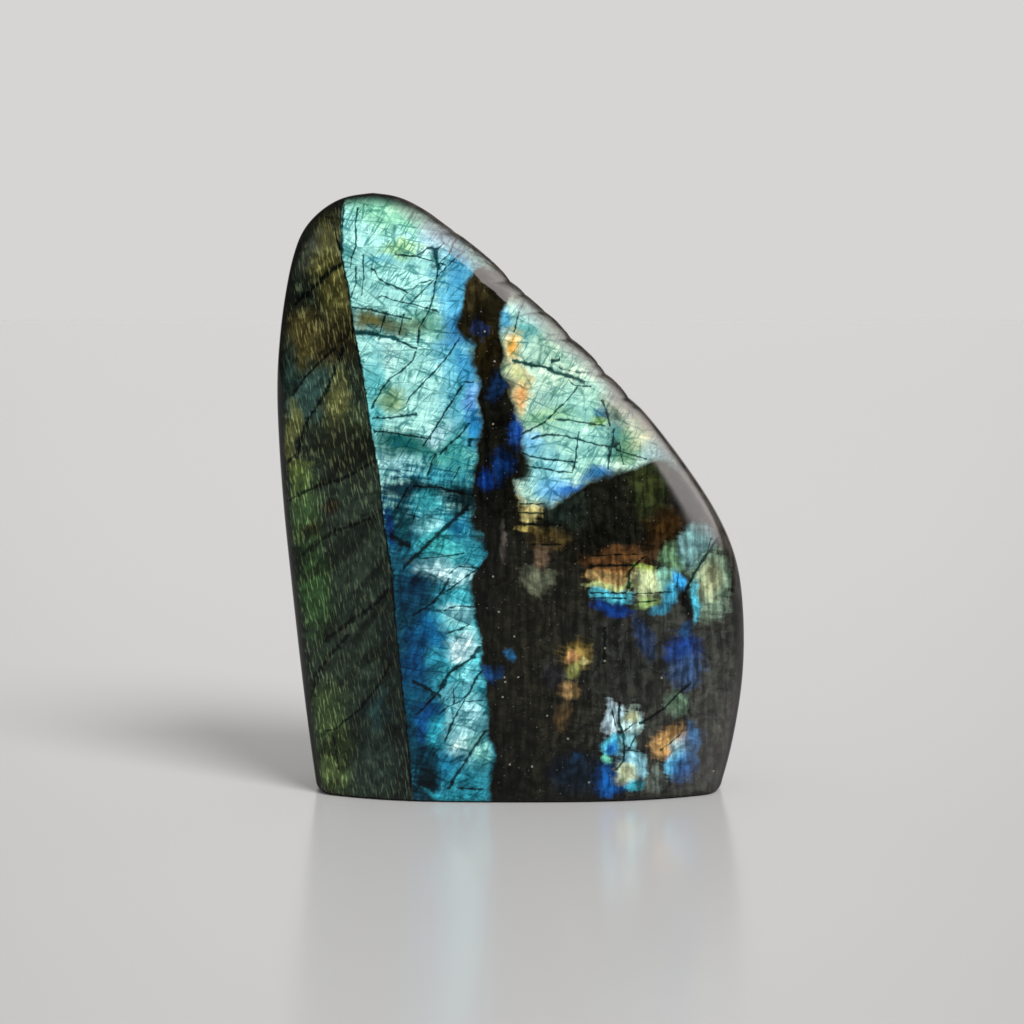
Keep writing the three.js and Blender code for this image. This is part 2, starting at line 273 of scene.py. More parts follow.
# The left panel, a twin of the rest of the stone, which shows green flecks on a dull ground.
PANEL_COLOUR = "263228"
PANEL_GLOWS = [
    ("grey green head", -43, 119.5, 5.2, 5, 20, 0.8, "444a3e"),
    ("black corner", -39.5, 125.6, 4, 3.4, 20, 0.7, "0c0e0c"),
    ("high olive", -38.3, 111, 2.8, 9.5, 8, 0.8, "5e5c30"),
    ("left olive", -44, 98.5, 4.4, 5.4, 0, 0.8, "504a28"),
    ("brown", -36.3, 99.5, 3.8, 5.4, 0, 0.8, "241e10"),
    ("blue grey block", -48, 91, 2.3, 5.8, 0, 0.6, "2e4640"),
    ("blue grey facet", -43, 87.5, 4, 5.6, -35, 0.5, "344e48"),
    ("olive streak", -37.3, 86, 2.2, 5.4, 0, 0.8, "60623a"),
    ("pale olive", -32.8, 81, 1.9, 3.2, 0, 0.8, "48543c"),
    ("olive rim", -47, 78.5, 1.4, 5.8, 0, 0.8, "64683c"),
    ("dark middle", -37.5, 76.5, 6.5, 5, 0, 0.8, "181e12"),
    ("yellow green", -45.4, 68, 2, 3.8, 0, 0.8, "627238"),
    ("green", -44.5, 61, 2.9, 6.4, 0, 0.8, "3c5632"),
    ("brown patch", -38, 63.2, 1.5, 1.7, 0, 0.8, "1c160a"),
    ("low brown patch", -43, 57.7, 2.3, 1.8, 0, 0.8, "201c0e"),
    ("low green", -42.5, 45, 3, 8, 0, 0.8, "304c2a"),
    ("olive foot", -39, 12, 3.6, 10, 0, 0.8, "3e502e"),
    ("bright foot", -38.3, 5.4, 2.1, 2.8, 0, 0.8, "607444"),
    ("smooth foot", -29.5, 12.5, 4.8, 10, 0, 0.8, "26342e"),
    ("blue hint", -28, 20, 2.4, 3.4, 0, 0.8, "233e3e"),
    ("dark by the seam", -25.2, 24, 1.9, 27, 4.5, 0.9, "131c1a"),
]

# Where the panel's flecks give way to a calm, even sheen. Each place is written as a glow is,
# without a colour.
CALM = [
    ("head", -43.5, 120.5, 5, 4.5, 20, 0.8),
    ("left blocks", -46.5, 89.5, 5.5, 6.5, 0, 0.7),
    ("middle", -32.5, 55, 5.5, 8.5, 0, 0.9),
    ("low middle", -32, 35, 7, 6, 40, 0.9),
    ("foot", -29.5, 13, 5, 11, 0, 0.9),
    ("by the seam", -26.8, 36, 3, 30, 4, 0.9),
]

# Edges of the zones: the twin seam and both sides of the dark band as (z, x), from the base up,
# and the lower border of the right-hand field as (x, z).
SEAM = [
    (0, -21.2), (5, -21.5), (20, -23), (38, -24.8), (50, -25.7), (60, -27.3), (70, -28.2), (80, -30),
    (92, -31.7), (106, -34.2), (110, -34.7), (117, -36.1), (122, -36.2), (130, -35.7),
]
BAND_LEFT = [
    (0, -5.2), (10, -4), (18, -6), (25, -5.3), (35, -7), (43, -8.5), (49, -8), (53, -6.5), (57, -8),
    (62, -9), (70, -8), (75, -7.2), (85, -7), (90, -7.3), (95, -8.3), (100, -9.7), (104, -11.7),
    (108, -10.9), (111, -9.8), (113.5, -7.5), (116, -2),
]
BAND_RIGHT = [
    (62, 2.3), (68, 1), (72, 2.5), (80, 2), (84, 0.8), (90, -0.3), (95, -1.5), (101, -2.9),
    (104, -2.3), (107, -0.6), (110, -0.2), (113.5, -4), (116, -10),
]
FIELD_FOOT = [(0, 64.3), (9, 64.9), (12, 66), (15, 68), (21, 70.5), (26, 72), (31, 72.6), (36, 71)]

# Cracks and cleavage lines: half a width, how faint it is from 0 to 1, and the points (x, z)
# that it runs through. Each runs one way along its longer side.
CRACKS = [
    (0.25, 0.0, [(-35.7, 128), (-36.1, 121), (-36, 116), (-34.7, 110), (-34.2, 106), (-33.2, 99.3), (-31.7, 92),
                 (-30, 80), (-28.2, 70), (-27.3, 60), (-25.7, 50), (-24.8, 38), (-23, 20), (-21.5, 3)]),
    (0.28, 0.2, [(-37.8, 122.5), (-36.3, 117.5)]),
    (0.22, 0.2, [(-32.8, 127), (-33.2, 123), (-33, 118.7), (-34, 116), (-34.3, 113.5)]),
    (0.2, 0.2, [(-31.5, 117), (-31.4, 112), (-31.8, 107.8)]),
    (0.22, 0.2, [(-33, 114.5), (-33, 111), (-34.2, 107.5)]),
    (0.3, 0.1, [(-30, 113.8), (-29.1, 113.6), (-28.2, 111.6), (-26.3, 110.6), (-24, 109.8), (-22, 108.6)]),
    (0.24, 0.2, [(-28.5, 107.6), (-27.6, 108.2), (-25, 107.2), (-20, 106.1), (-17, 105.2), (-15.2, 104.5)]),
    (0.5, 0.0, [(-17, 105.2), (-15.6, 104.7)]),
    (0.22, 0.25, [(-24.5, 106), (-22.5, 108.3), (-19.5, 110.8), (-17, 111.5)]),
    (0.24, 0.2, [(-22.5, 105.3), (-20.5, 107.6), (-18, 110), (-15.5, 112.5), (-12, 116), (-9, 118.3)]),
    (0.26, 0.1, [(-20, 98), (-19.6, 101.4), (-18, 104), (-17.2, 106), (-16.6, 108), (-16.2, 110.5), (-15.8, 113),
                 (-15.3, 115), (-13.3, 117), (-12.5, 119), (-11.3, 121.5)]),
    (0.26, 0.1, [(-24.8, 116.8), (-20.3, 116.4), (-17, 115.5), (-14, 114.6)]),
    (0.3, 0.1, [(-20.3, 116.4), (-18, 118.2), (-15.6, 118), (-14.4, 119.4)]),
    (0.8, 0.0, [(-16.5, 118.3), (-16.2, 116.6), (-15.8, 114.8), (-15.6, 113.2)]),
    (0.34, 0.1, [(-34, 105.8), (-30, 105.2), (-25, 104), (-21, 103.2)]),
    (0.24, 0.2, [(-26.5, 105), (-28, 100.2)]),
    (0.28, 0.2, [(-22.8, 104.5), (-24, 99.8)]),
    (0.6, 0.0, [(-34, 100.3), (-30, 100.2), (-27, 99.6), (-24.5, 99.2), (-23.6, 98.6)]),
    (0.3, 0.0, [(-24.2, 98.8), (-20, 97)]),
    (0.34, 0.1, [(-20.3, 96.5), (-21, 94.5), (-23.5, 92.2), (-26, 90.6), (-27.5, 88.6), (-30, 84)]),
    (0.28, 0.1, [(-22.7, 85), (-21.5, 87), (-18.3, 90.3), (-15, 93.7), (-13.2, 96), (-11, 99.5)]),
    (0.34, 0.1, [(-29.8, 82.3), (-26, 82.5), (-23.5, 82.8), (-20, 83.2)]),
    (0.28, 0.1, [(-29.5, 79.6), (-26, 79.4), (-22, 78.7), (-17, 78.1)]),
    (0.28, 0.1, [(-19, 76.2), (-16.5, 80), (-14, 84), (-12, 87), (-10.5, 89.4)]),
    (0.45, 0.1, [(-15.4, 74.6), (-12.5, 77.6), (-11, 78.8), (-9, 81.4)]),
    (0.35, 0.2, [(-18, 70), (-17, 73), (-16, 75.4)]),
    (0.2, 0.2, [(-13, 68.5), (-10.8, 72.5)]),
    (0.2, 0.2, [(-10.3, 90), (-8, 89.9)]),
    (0.6, 0.0, [(-9.1, 76.2), (-8.7, 78.2)]),
    (0.5, 0.1, [(-21, 68), (-15, 67.7), (-10, 66.4)]),
    (0.28, 0.2, [(3.2, 110), (2.8, 107), (1.2, 104), (0.5, 100.3)]),
    (0.5, 0.0, [(0, 94.5), (2, 94), (5, 93.3), (7, 93), (9, 92), (11, 91.3), (13, 90.8), (15.5, 89.8)]),
    (0.5, 0.6, [(10, 92.7), (14, 91.8), (19, 91.4)]),
    (0.5, 0.1, [(8.3, 94.1), (10.4, 94.6)]),
    (0.2, 0.2, [(12, 90.3), (13.5, 89), (17, 88.7)]),
    (0.32, 0.1, [(14, 88.8), (12, 86.3), (10, 84.5), (7, 81.5), (4, 80), (2, 79)]),
    (0.3, 0.1, [(19.2, 86), (20, 84), (21, 80)]),
    (0.3, 0.25, [(9, 82), (12, 81.8), (16.5, 81), (20, 80.5)]),
    (0.25, 0.1, [(14.2, 79.5), (13.9, 77.5), (13.6, 74), (12.8, 70.8)]),
    (0.32, 0.15, [(4, 78), (6, 78.6), (10, 78.8), (14, 77.8), (17, 76.8), (22, 75.9)]),
    (0.28, 0.1, [(2.2, 75), (4, 74.3), (7, 73.7), (10, 73.3), (14, 73)]),
    (0.26, 0.2, [(3, 72.3), (5, 72), (10, 71), (13, 70.8)]),
    (0.36, 0.1, [(21.8, 80), (21.5, 77), (20.7, 74), (20.5, 71)]),
    (0.6, 0.2, [(20.5, 75.6), (23.2, 76.9)]),
    (0.26, 0.2, [(22, 75.5), (25, 74.5), (29, 73.3)]),
    (0.26, 0.2, [(23, 76.4), (23.8, 72)]),
    (0.75, 0.0, [(-23.2, 50.6), (-20, 53.5), (-17, 56.5), (-14.5, 59), (-12, 61.2), (-9, 64)]),
    (1.0, 0.1, [(-26, 57.4), (-21.5, 55.4)]),
    (0.3, 0.1, [(-24.5, 63), (-22, 68)]),
    (0.2, 0.2, [(-21.3, 60), (-20, 64)]),
    (0.2, 0.2, [(-19.5, 52.5), (-15, 53), (-10, 53.8)]),
    (0.22, 0.1, [(-14, 45.5), (-12, 47), (-9.5, 49), (-7, 50.5)]),
    (0.22, 0.2, [(-13.5, 49.2), (-11.5, 51), (-7, 50.6)]),
    (0.22, 0.2, [(-14.5, 41.5), (-12, 42.5), (-8, 42.3)]),
    (0.55, 0.1, [(-21.4, 40.2), (-17, 43), (-14.5, 46), (-13.3, 48.6)]),
    (0.22, 0.2, [(-14, 36.5), (-9, 38.5)]),
    (0.7, 0.0, [(-15.5, 24.5), (-13.5, 28), (-11, 29.8), (-8.5, 31.4), (-6.8, 34)]),
    (0.36, 0.1, [(-16, 19), (-13.5, 21), (-11, 22), (-9, 24), (-8, 26.5), (-6.3, 28.8)]),
    (0.2, 0.2, [(-10.5, 22), (-5.5, 22.3)]),
    (0.2, 0.2, [(-12.5, 25), (-12.4, 21.5)]),
    (0.3, 0.1, [(-14.5, 13), (-13, 17), (-11.5, 20), (-10, 22.5)]),
    (0.4, 0.1, [(-20.5, 19), (-17, 22.6), (-14, 26)]),
    (0.7, 0.2, [(-21.5, 26.5), (-15, 23)]),
    (0.5, 0.1, [(-13.5, 3), (-12, 6), (-10, 9), (-8.5, 11.5), (-6.5, 14.5), (-5.5, 16)]),
    (0.25, 0.2, [(-12, 3.4), (-6, 3)]),
    (1.0, 0.2, [(-46.6, 106), (-43, 109), (-40, 112), (-36, 115)]),
    (0.45, 0.1, [(-47, 86.6), (-44, 91), (-40, 95), (-37, 97.5)]),
    (0.6, 0.1, [(-49, 71.5), (-46, 74.5), (-44, 81), (-42, 84), (-39, 89), (-36.5, 95), (-35.5, 98)]),
    (0.5, 0.1, [(-49.3, 63.5), (-45, 66), (-40, 68.3), (-37, 69), (-33, 71), (-29, 73.4)]),
    (1.1, 0.35, [(-40.5, 34), (-35, 38.6), (-30, 42), (-26, 46)]),
    (0.8, 0.35, [(-43.5, 21), (-42, 27), (-39, 31), (-35, 36)]),
    (0.45, 0.0, [(-40.5, 14.3), (-38, 15), (-36, 17), (-33, 19.5), (-30.5, 22.5), (-28, 26), (-26, 30)]),
    (0.28, 0.1, [(-38.5, 13.4), (-37.5, 6)]),
    (0.8, 0.4, [(-46, 52), (-38, 58), (-30, 61), (-27.5, 63)]),
    (0.25, 0.1, [(4, 55.7), (10.5, 55.6)]),
    (0.25, 0.1, [(3, 59.9), (10.5, 59.8)]),
    (0.18, 0.1, [(1.5, 62.4), (7, 62.3)]),
    (0.16, 0.2, [(1.5, 64.3), (7, 64.2)]),
    (0.35, 0.0, [(16.5, 51), (26.5, 51.1)]),
    (0.16, 0.2, [(16.5, 53.2), (27, 53.4)]),
    (0.5, 0.0, [(24.8, 46), (25, 49.7), (26, 51), (28.4, 53)]),
    (0.22, 0.1, [(16.5, 45.3), (24.5, 45.2)]),
    (0.22, 0.1, [(16.5, 44.2), (24.5, 44.1)]),
    (0.18, 0.2, [(26, 45), (34.5, 45.2)]),
    (0.2, 0.2, [(26, 43.2), (31, 43.4)]),
    (0.55, 0.0, [(36.6, 42), (37, 45), (38.5, 48), (40.4, 51), (44.5, 56.5)]),
    (0.3, 0.1, [(42.8, 56.5), (41.6, 52)]),
    (0.22, 0.2, [(35.2, 46), (35.6, 49.6)]),
    (0.5, 0.1, [(19.8, 38), (19.6, 30)]),
    (0.4, 0.0, [(27, 17), (30, 18.5), (33, 20.5), (36, 23.5), (38.5, 25.5)]),
    (0.38, 0.0, [(23, 22), (22.8, 17.5), (23.8, 15), (24.1, 11), (23.8, 9), (22.3, 7)]),
    (0.22, 0.1, [(21.3, 20.5), (22.2, 16.6)]),
    (0.22, 0.1, [(23.6, 15.2), (26.5, 17.4)]),
    (0.26, 0.1, [(26.4, 14.4), (24.8, 11.2)]),
    (0.22, 0.1, [(24, 11.4), (28.3, 10.9)]),
    (0.2, 0.2, [(31.8, 11), (34, 12.6), (36.4, 14.4)]),
]

# Mineral specks in the dark ground, as (x, z).
SPECKS = [
    (-9, 58.7), (-4, 48.8), (-2.8, 41.3), (0.6, 36), (-1.6, 27.2), (-1.5, 26.2), (1.3, 27.2), (-2, 23),
    (-0.5, 8.5), (4.3, 8), (7.5, 19), (12, 14), (16.5, 4.5), (32, 26.8), (19.8, 33.5), (19.7, 30.7),
    (43.7, 5.5), (-5.8, 100.6), (-4, 81.2), (-3.6, 94.4),
]
SPECK_EDGE, SPECK_CORE = 0.32, 0.06

# The ways in which fine cleavage lines run: degrees from level, how close they lie across and
# how slowly they change along (both per millimetre), half a width and how faint they are. The
# last two are the long lines that cross the whole face.
LINE_FAMILIES = [
    (-9, 0.42, 0.04, 0.014, 0.20),
    (54, 0.36, 0.04, 0.013, 0.20),
    (97, 0.30, 0.04, 0.010, 0.30),
    (-16, 0.95, 0.12, 0.018, 0.45),
    (46, 0.85, 0.12, 0.017, 0.45),
    (59, 0.17, 0.011, 0.012, 0.1),
    (-27, 0.15, 0.011, 0.010, 0.15),
]

# The cells between the cleavages: degrees from level, how close they lie across and along (both
# per millimetre), and how dark the darkest is.
CELL_FAMILIES = [(-11, 0.3, 0.1, 0.82), (54, 0.6, 0.13, 0.86)]

# The back's colours, from its dark body up to its brightest fields of flash.
BACK_STOPS = [
    (0.3, "0c0e0a"), (0.42, "0c0e0a"), (0.47, "0f3ca0"), (0.52, "28a0c8"), (0.6, "b4f0e0"), (0.7, "dcc878"),
]

# The painted rim shade: near black on the rounded rim, lighter on the sloping shoulder.
RIM_SHADE_COLOUR = "161612"
SHOULDER_SHADE_COLOUR = "46423c"
FLECK_COLOUR = "b0b478"
DUST_COLOUR = "9a9a94"
SPECK_COLOUR = "8e8e86"
CRACK_TINT = (0.015, 0.09, 0.1, 1)
LINE_TINT = (0.06, 0.26, 0.28, 1)


def add_node(tree, kind, feeds=(), **settings):
    """Adds a shader node. A feed is a value for an input, or the output that is linked to it."""
    made = tree.nodes.new("ShaderNode" + kind)
    for name, setting in settings.items():
        setattr(made, name, setting)
    for socket, feed in dict(feeds).items():
        if isinstance(feed, bpy.types.NodeSocket):
            tree.links.new(feed, made.inputs[socket])
        else:
            made.inputs[socket].default_value = feed
    return made


def maths(tree, operation, *feeds):
    return add_node(tree, "Math", enumerate(feeds), operation=operation).outputs[0]


def vector_maths(tree, operation, *feeds):
    made = add_node(tree, "VectorMath", enumerate(feeds), operation=operation)
    return made.outputs["Value" if operation == "DOT_PRODUCT" else "Vector"]


def ramp(tree, value, low, high, bottom=0.0, top=1.0):
    """Goes smoothly from bottom to top while the value goes from low to high."""
    feeds = {"Value": value, "From Min": low, "From Max": high, "To Min": bottom, "To Max": top}
    return add_node(tree, "MapRange", feeds, interpolation_type="SMOOTHSTEP", clamp=False).outputs[0]


def scaled(tree, vector, amount):
    return add_node(tree, "VectorMath", {0: vector, "Scale": amount}, operation="SCALE").outputs[0]


def mix_colours(tree, share, under, over, way="MIX"):
    made = add_node(tree, "Mix", {0: share, 6: under, 7: over}, data_type="RGBA", blend_type=way)
    return made.outputs[2]


def noise(tree, where, scale, detail=1.0, output="Fac"):
    feeds = {"Vector": where, "Scale": scale, "Detail": detail}
    return add_node(tree, "TexNoise", feeds, noise_dimensions="2D").outputs[output]


def colour(code):
    """The linear colour of a hex code of screen colours."""
    parts = [int(code[i:i + 2], 16) / 255 for i in (0, 2, 4)]
    return (*[c / 12.92 if c <= 0.04045 else ((c + 0.055) / 1.055) ** 2.4 for c in parts], 1)


def drawn_edge(tree, along, points, handle="AUTO_CLAMPED"):
    """A drawn line: the value that its points give for a place along it."""
    made = add_node(tree, "FloatCurve", {"Value": along})
    made.mapping.use_clip = False
    curve = made.mapping.curves[0]
    for end, spot in ((0, points[0]), (1, points[-1])):
        curve.points[end].location = spot
    for spot in points[1:-1]:
        curve.points.new(*spot)
    for point in curve.points:
        point.handle_type = handle
    made.mapping.update()
    return made.outputs[0]


def new_group(name, inputs, outputs):
    """A shader node group with the named sockets, and its input and output nodes."""
    group = bpy.data.node_groups.new(name, "ShaderNodeTree")
    for in_out, sockets in (("INPUT", inputs), ("OUTPUT", outputs)):
        for socket_name, kind in sockets:
            group.interface.new_socket(socket_name, in_out=in_out, socket_type="NodeSocket" + kind)
    return group, group.nodes.new("NodeGroupInput").outputs, group.nodes.new("NodeGroupOutput").inputs


# A glow is a rounded block of colour. Along and Across turn a place on the face, written as
# (x, z, 1), into distances from the middle in half sizes.
glow_group, given, result = new_group(
    "glow",
    [("Place", "Vector"), ("Along", "Vector"), ("Across", "Vector"), ("Outer", "Float"), ("Inner", "Float"),
     ("Under", "Color"), ("Colour", "Color")],
    [("Colour", "Color"), ("Share", "Float")],
)
along = vector_maths(glow_group, "DOT_PRODUCT", given["Place"], given["Along"])
across = vector_maths(glow_group, "DOT_PRODUCT", given["Place"], given["Across"])
roundness = maths(glow_group, "MULTIPLY_ADD", along, along, maths(glow_group, "MULTIPLY", across, across))
glow_share = ramp(glow_group, roundness, given["Outer"], given["Inner"])
glow_group.links.new(glow_share, result["Share"])
glow_group.links.new(mix_colours(glow_group, glow_share, given["Under"], given["Colour"]), result["Colour"])

# A crack adds itself to the cracks before it: the least distance to any of them in half widths.
crack_group, given, result = new_group(
    "crack",
    [("Place", "Float"), ("Line", "Float"), ("Per Half Width", "Float"), ("Faintness", "Float"),
     ("Least", "Float")],
    [("Least", "Float")],
)
gap = maths(crack_group, "ABSOLUTE", maths(crack_group, "SUBTRACT", given["Place"], given["Line"]))
gap = maths(crack_group, "MULTIPLY_ADD", gap, given["Per Half Width"], given["Faintness"])
crack_group.links.new(maths(crack_group, "MINIMUM", gap, given["Least"]), result["Least"])

labradorite = bpy.data.materials.new("polished labradorite")
labradorite.use_nodes = True
tree = labradorite.node_tree
shader = tree.nodes["Principled BSDF"]

# Places on the face in millimetres as (x, z, 1), as they are and stirred by two sizes of noise.
object_place = add_node(tree, "TexCoord").outputs["Object"]
parts = add_node(tree, "SeparateXYZ", {"Vector": object_place}).outputs
mm_x, mm_z = [maths(tree, "MULTIPLY", parts[axis], 1 / MM) for axis in ("X", "Z")]
face = add_node(tree, "CombineXYZ", {"X": mm_x, "Y": mm_z, "Z": 1}).outputs[0]
wide_stir = vector_maths(tree, "SUBTRACT", noise(tree, face, 0.12, output="Color"), (0.5, 0.5, 0.5))
fine_stir = vector_maths(tree, "SUBTRACT", noise(tree, face, 0.7, 2.0, "Color"), (0.5, 0.5, 0.5))
line_flat = vector_maths(tree, "MULTIPLY_ADD", fine_stir, (0.45, 0.45, 0), face)
glow_flat = vector_maths(tree, "MULTIPLY_ADD", fine_stir, (0.7, 0.7, 0), line_flat)
glow_flat = vector_maths(tree, "MULTIPLY_ADD", wide_stir, (5, 5, 0), glow_flat)
line_x, line_z = add_node(tree, "SeparateXYZ", {"Vector": line_flat}).outputs[:2]
glow_x, glow_z = add_node(tree, "SeparateXYZ", {"Vector": glow_flat}).outputs[:2]


def turned(turn, across, along):
    """Places with the first axis along a direction on the face, in degrees from level. Both
    axes are counted in steps, so many to the millimetre."""
    feeds = {"Vector": line_flat, "Rotation": (0, 0, math.radians(turn)), "Scale": (1 / along, 1 / across, 1)}
    return add_node(tree, "Mapping", feeds, vector_type="TEXTURE").outputs[0]


def streaks(turn, across, along, detail=2.0):
    """Noise drawn out along one direction on the face."""
    return noise(tree, turned(turn, across, along), 1.0, detail)


NOISE_LOW, NOISE_HIGH = 0.3, 0.7


def spread(noise_value, bottom, top):
    """A noise spread out so that nearly all of it runs from bottom to top."""
    return ramp(tree, noise_value, NOISE_LOW, NOISE_HIGH, bottom, top)


# A glow's edge is feathered along the streaks: there the distances from its middle grow or shrink.
level_streaks = streaks(-9, 1.3, 0.16)
steep_streaks = streaks(82, 1.2, 0.2)
feather = maths(tree, "MULTIPLY", spread(level_streaks, 0.9, 1.1), spread(steep_streaks, 0.92, 1.08))
feathered = scaled(tree, glow_flat, feather)

SOFT_OUTER, SOFT_INNER = 2.9, 2.1  # how far a full softness spreads a glow's edge out and in
NO_COLOUR = (0, 0, 0, 1)


def lay_glow(under, x, z, half_x, half_z, turn, softness, code=None):
    """Lays one glow over the colours before it, and gives the new colours and the glow's share."""
    turn = math.radians(turn)
    c, s = math.cos(turn), math.sin(turn)
    feeds = {
        "Place": feathered,
        "Along": (c / half_x, s / half_x, -(x * c + z * s) / half_x),
        "Across": (-s / half_z, c / half_z, (x * s - z * c) / half_z),
        "Outer": 1 + SOFT_OUTER * softness,
        "Inner": 1 - SOFT_INNER * softness,
        "Under": under,
    }
    if code:
        feeds["Colour"] = colour(code)
    return add_node(tree, "Group", feeds, node_tree=glow_group).outputs


def lay_glows(code, glows):
    colours = colour(code)
    for _, *glow in glows:
        colours = lay_glow(colours, *glow)["Colour"]
    return colours


column = lay_glows(COLUMN_COLOUR, COLUMN_GLOWS)
field = lay_glows(FIELD_COLOUR, FIELD_GLOWS)
ground = lay_glows(GROUND_COLOUR, GROUND_GLOWS)
panel = lay_glows(PANEL_COLOUR, PANEL_GLOWS)
calm = 0.0
for _, *spot in CALM:
    calm = maths(tree, "MAXIMUM", calm, lay_glow(NO_COLOUR, *spot)["Share"])

# The cracks and the fine lines: the least distance to any of them, broken up by noise. A crack's
# line is led a little over its ends and then far aside.
FARTHEST = 9.0
AT_EDGE = 0.7
MOST_FAINT = 0.6
LED_OVER = 0.3
OUT_OF_SIGHT = 60
drawn_cracks = FARTHEST
for half_width, faintness, points in CRACKS:
    runs_across = abs(points[-1][0] - points[0][0]) > abs(points[-1][1] - points[0][1])
    if not runs_across:
        points = [(z, x) for x, z in points]
    points = sorted(points)
    start, end = points[0], points[-1]
    before = (start[0] - LED_OVER, start[1] + OUT_OF_SIGHT)
    after = (end[0] + LED_OVER, end[1] + OUT_OF_SIGHT)
    points = [before, *points, after]
    line = drawn_edge(tree, line_x if runs_across else line_z, points, "VECTOR")
    drawn_cracks = add_node(tree, "Group", {
        "Place": line_z if runs_across else line_x,
        "Line": line,
        "Per Half Width": AT_EDGE / half_width,
        "Faintness": faintness * MOST_FAINT,
        "Least": drawn_cracks,
    }, node_tree=crack_group).outputs["Least"]
fine_lines = FARTHEST
for turn, across, along, half_width, faintness in LINE_FAMILIES:
    off = maths(tree, "ABSOLUTE", maths(tree, "SUBTRACT", streaks(turn, across, along), 0.5))
    distance = maths(tree, "MULTIPLY_ADD", off, AT_EDGE / half_width, faintness)
    fine_lines = maths(tree, "MINIMUM", fine_lines, distance)
breaks = ramp(tree, noise(tree, face, 0.3, 2.0), 0.35, 0.65, 0.0, 0.4)
fine_lines = maths(tree, "ADD", fine_lines, breaks)
uneven = spread(noise(tree, face, 0.8), 0.75, 1.9)
drawn_cracks = maths(tree, "MULTIPLY", drawn_cracks, uneven)
crack_share = ramp(tree, drawn_cracks, 1.25, 0.2)
line_share = ramp(tree, fine_lines, 1.0, 0.2)

# Cells between the cleavages, each a little lighter or darker, with a thin dark edge.
cell_edges = 0.0
cell_tone = 1.0
for turn, across, along, darkest in CELL_FAMILIES:
    where = turned(turn, across, along)
    cells = add_node(tree, "TexVoronoi", {"Vector": where, "Scale": 1}, voronoi_dimensions="2D")
    hue = add_node(tree, "SeparateXYZ", {"Vector": cells.outputs["Color"]}).outputs["X"]
    cell_tone = maths(tree, "MULTIPLY", cell_tone, ramp(tree, hue, 0, 1, darkest, 1.06))
    edges = add_node(
        tree, "TexVoronoi", {"Vector": where, "Scale": 1}, voronoi_dimensions="2D", feature="DISTANCE_TO_EDGE",
    )
    distance = maths(tree, "ADD", edges.outputs["Distance"], maths(tree, "MULTIPLY", breaks, 0.12))
    cell_edges = maths(tree, "MAXIMUM", cell_edges, ramp(tree, distance, 0.1, 0.0))

# The flash is brighter and duller in fine streaks, in small blocks and along the cleavage.
mottle = spread(noise(tree, glow_flat, 0.5, 3.0), 0.9, 1.14)
shimmer = maths(tree, "MULTIPLY", spread(level_streaks, 0.9, 1.1), mottle)
shimmer = maths(tree, "MULTIPLY", shimmer, spread(steep_streaks, 0.9, 1.06))
shimmer = maths(tree, "MULTIPLY", shimmer, cell_tone)


def shade(colours, amount):
    """The colours made lighter or darker, the darker the more they turn to teal."""
    deeper = add_node(tree, "CombineXYZ", {
        "X": maths(tree, "POWER", amount, 1.5), "Y": amount, "Z": maths(tree, "POWER", amount, 0.9),
    }).outputs[0]
    return vector_maths(tree, "MULTIPLY", colours, deeper)


def crossed(colours, line_strength):
    """The colours with the fine lines and the cracks across them."""
    lines = maths(tree, "MULTIPLY", maths(tree, "MAXIMUM", line_share, cell_edges), line_strength)
    colours = mix_colours(tree, lines, colours, LINE_TINT, "MULTIPLY")
    return mix_colours(tree, crack_share, colours, CRACK_TINT, "MULTIPLY")


# The column's lower half has more contrast than its pale top.
depth = ramp(tree, glow_z, 75, 58, 1.0, 2.4)
column = crossed(shade(column, maths(tree, "POWER", shimmer, depth)), 0.9)
field = crossed(shade(field, shimmer), 0.8)

# The panel's flecks are pale splinters; dark folds and a soft mottle run through all of it.
fleck_share = ramp(tree, streaks(100, 2.4, 0.34, 1.0), 0.55, 0.72)
not_calm = maths(tree, "SUBTRACT", 1.0, maths(tree, "MULTIPLY", calm, 0.75))
fleck_share = maths(tree, "MULTIPLY", fleck_share, not_calm)
folds = ramp(tree, streaks(50, 0.2, 0.045, 3.0), 0.36, 0.54, 0.42, 1.0)
panel_mottle = spread(noise(tree, glow_flat, 0.45, 4.0), 0.66, 1.45)
grain = spread(streaks(97, 3.2, 0.5, 1.0), 0.8, 1.22)
light = maths(tree, "MULTIPLY_ADD", fleck_share, 2.5, 0.96)
light = maths(tree, "MULTIPLY", light, folds)
light = maths(tree, "MULTIPLY", light, maths(tree, "MULTIPLY", panel_mottle, grain))
panel = crossed(scaled(tree, panel, light), 0.25)
panel = mix_colours(tree, maths(tree, "MULTIPLY", fleck_share, 0.13), panel, colour(FLECK_COLOUR))

# The dark ground is mottled and faintly streaked, and holds dust and a few pale specks.
ground_mottle = spread(noise(tree, glow_flat, 0.5, 4.0), 0.5, 1.42)
ground_streaks = ramp(tree, streaks(92, 0.9, 0.1), 0.35, 0.65, 0.55, 1.25)
ground = crossed(scaled(tree, ground, maths(tree, "MULTIPLY", ground_mottle, ground_streaks)), 0.35)
dust = ramp(tree, noise(tree, face, 1.6), 0.76, 0.84)
ground = mix_colours(tree, maths(tree, "MULTIPLY", dust, 0.3), ground, colour(DUST_COLOUR))
speck_share = 0.0
for x, z in SPECKS:
    apart = add_node(tree, "VectorMath", {0: line_flat, 1: (x, z, 1)}, operation="DISTANCE")
    speck = ramp(tree, apart.outputs["Value"], SPECK_EDGE, SPECK_CORE)
    speck_share = maths(tree, "MAXIMUM", speck_share, speck)
ground = mix_colours(tree, speck_share, ground, colour(SPECK_COLOUR))

